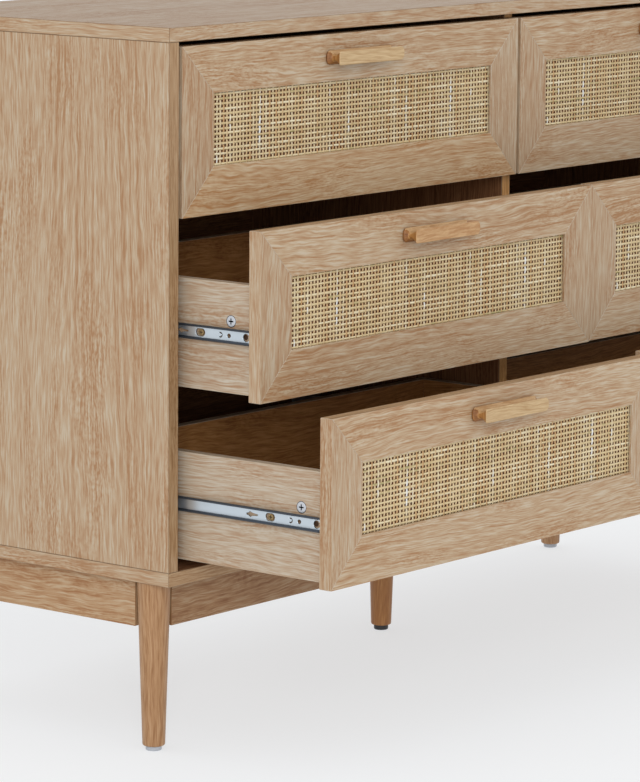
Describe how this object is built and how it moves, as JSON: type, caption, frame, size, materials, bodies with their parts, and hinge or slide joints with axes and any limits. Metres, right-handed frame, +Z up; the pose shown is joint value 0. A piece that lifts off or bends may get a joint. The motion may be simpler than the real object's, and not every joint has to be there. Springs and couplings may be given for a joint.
{
  "type": "dresser with drawers",
  "caption": "Oak-faced dresser on tapered legs, with two columns of cane-panelled drawers on ball-bearing slides and waisted wooden bar handles.",
  "frame": {"origin": "on the floor, at the middle of the box round the dresser as stored, with its middle drawers part open and its bottom drawers well open", "axes": "+X to the right seen from the front, +Y to the back, +Z up; the drawers open towards -Y"},
  "size_m": [1.2, 0.611, 0.755],
  "materials": {
    "oak_board": "matt oak-grain surface on board",
    "oak_front": "matt oak-grain surface, mitred",
    "back_board": "matt thin board",
    "drawer_board": "matt brown wood grain",
    "leg_wood": "satin lacquered solid wood",
    "handle_wood": "satin lacquered solid wood",
    "cane": "natural woven cane on a dark board",
    "zinc_steel": "bright zinc plate",
    "pale_plastic": "moulded",
    "black_plastic": "moulded"
  },
  "bodies": {
    "carcass": {"top_panel": "oak_board", "bottom_panel": "oak_board", "left_side_panel": "oak_board", "right_side_panel": "oak_board", "centre_divider": "oak_board", "back_panel": "back_board", "front_apron": "oak_board", "rear_apron": "oak_board", "side_aprons": "oak_board", "front_legs": "leg_wood", "rear_legs": "leg_wood", "centre_support_leg": "leg_wood", "leg_glides": "pale_plastic", "support_leg_foot": "black_plastic", "cabinet_slides": "zinc_steel", "carcass_fasteners": "zinc_steel"},
    "top_left_drawer": {"top_left_front_frame": "oak_front", "top_left_cane_panel": "cane", "top_left_handle": "handle_wood", "top_left_drawer_box": "drawer_board", "top_left_slide_members": "zinc_steel", "top_left_fixings": "zinc_steel"},
    "top_left_cages": {"top_left_ball_cages": "zinc_steel"},
    "top_right_drawer": {"top_right_front_frame": "oak_front", "top_right_cane_panel": "cane", "top_right_handle": "handle_wood", "top_right_drawer_box": "drawer_board", "top_right_slide_members": "zinc_steel", "top_right_fixings": "zinc_steel"},
    "top_right_cages": {"top_right_ball_cages": "zinc_steel"},
    "middle_left_drawer": {"middle_left_front_frame": "oak_front", "middle_left_cane_panel": "cane", "middle_left_handle": "handle_wood", "middle_left_drawer_box": "drawer_board", "middle_left_slide_members": "zinc_steel", "middle_left_fixings": "zinc_steel"},
    "middle_left_cages": {"middle_left_ball_cages": "zinc_steel"},
    "middle_right_drawer": {"middle_right_front_frame": "oak_front", "middle_right_cane_panel": "cane", "middle_right_handle": "handle_wood", "middle_right_drawer_box": "drawer_board", "middle_right_slide_members": "zinc_steel", "middle_right_fixings": "zinc_steel"},
    "middle_right_cages": {"middle_right_ball_cages": "zinc_steel"},
    "bottom_left_drawer": {"bottom_left_front_frame": "oak_front", "bottom_left_cane_panel": "cane", "bottom_left_handle": "handle_wood", "bottom_left_drawer_box": "drawer_board", "bottom_left_slide_members": "zinc_steel", "bottom_left_fixings": "zinc_steel"},
    "bottom_left_cages": {"bottom_left_ball_cages": "zinc_steel"},
    "bottom_right_drawer": {"bottom_right_front_frame": "oak_front", "bottom_right_cane_panel": "cane", "bottom_right_handle": "handle_wood", "bottom_right_drawer_box": "drawer_board", "bottom_right_slide_members": "zinc_steel", "bottom_right_fixings": "zinc_steel"},
    "bottom_right_cages": {"bottom_right_ball_cages": "zinc_steel"}
  },
  "joints": [
    {"name": "top_left_slide", "type": "slide", "parent": "carcass", "child": "top_left_drawer", "axis": [0, -1, 0], "range_m": [0, 0.215]},
    {"name": "top_left_cage_slide", "type": "slide", "parent": "carcass", "child": "top_left_cages", "axis": [0, -1, 0], "range_m": [0, 0.1075]},
    {"name": "top_right_slide", "type": "slide", "parent": "carcass", "child": "top_right_drawer", "axis": [0, -1, 0], "range_m": [0, 0.215]},
    {"name": "top_right_cage_slide", "type": "slide", "parent": "carcass", "child": "top_right_cages", "axis": [0, -1, 0], "range_m": [0, 0.1075]},
    {"name": "middle_left_slide", "type": "slide", "parent": "carcass", "child": "middle_left_drawer", "axis": [0, -1, 0], "range_m": [-0.104, 0.111]},
    {"name": "middle_left_cage_slide", "type": "slide", "parent": "carcass", "child": "middle_left_cages", "axis": [0, -1, 0], "range_m": [-0.052, 0.0555]},
    {"name": "middle_right_slide", "type": "slide", "parent": "carcass", "child": "middle_right_drawer", "axis": [0, -1, 0], "range_m": [-0.1, 0.115]},
    {"name": "middle_right_cage_slide", "type": "slide", "parent": "carcass", "child": "middle_right_cages", "axis": [0, -1, 0], "range_m": [-0.05, 0.0575]},
    {"name": "bottom_left_slide", "type": "slide", "parent": "carcass", "child": "bottom_left_drawer", "axis": [0, -1, 0], "range_m": [-0.197, 0.018]},
    {"name": "bottom_left_cage_slide", "type": "slide", "parent": "carcass", "child": "bottom_left_cages", "axis": [0, -1, 0], "range_m": [-0.0985, 0.009]},
    {"name": "bottom_right_slide", "type": "slide", "parent": "carcass", "child": "bottom_right_drawer", "axis": [0, -1, 0], "range_m": [-0.178, 0.037]},
    {"name": "bottom_right_cage_slide", "type": "slide", "parent": "carcass", "child": "bottom_right_cages", "axis": [0, -1, 0], "range_m": [-0.089, 0.0185]}
  ],
  "couplings": [
    {"joint": "top_left_cage_slide", "follows": "top_left_slide", "ratio": 0.5},
    {"joint": "top_right_cage_slide", "follows": "top_right_slide", "ratio": 0.5},
    {"joint": "middle_left_cage_slide", "follows": "middle_left_slide", "ratio": 0.5},
    {"joint": "middle_right_cage_slide", "follows": "middle_right_slide", "ratio": 0.5},
    {"joint": "bottom_left_cage_slide", "follows": "bottom_left_slide", "ratio": 0.5},
    {"joint": "bottom_right_cage_slide", "follows": "bottom_right_slide", "ratio": 0.5}
  ]
}
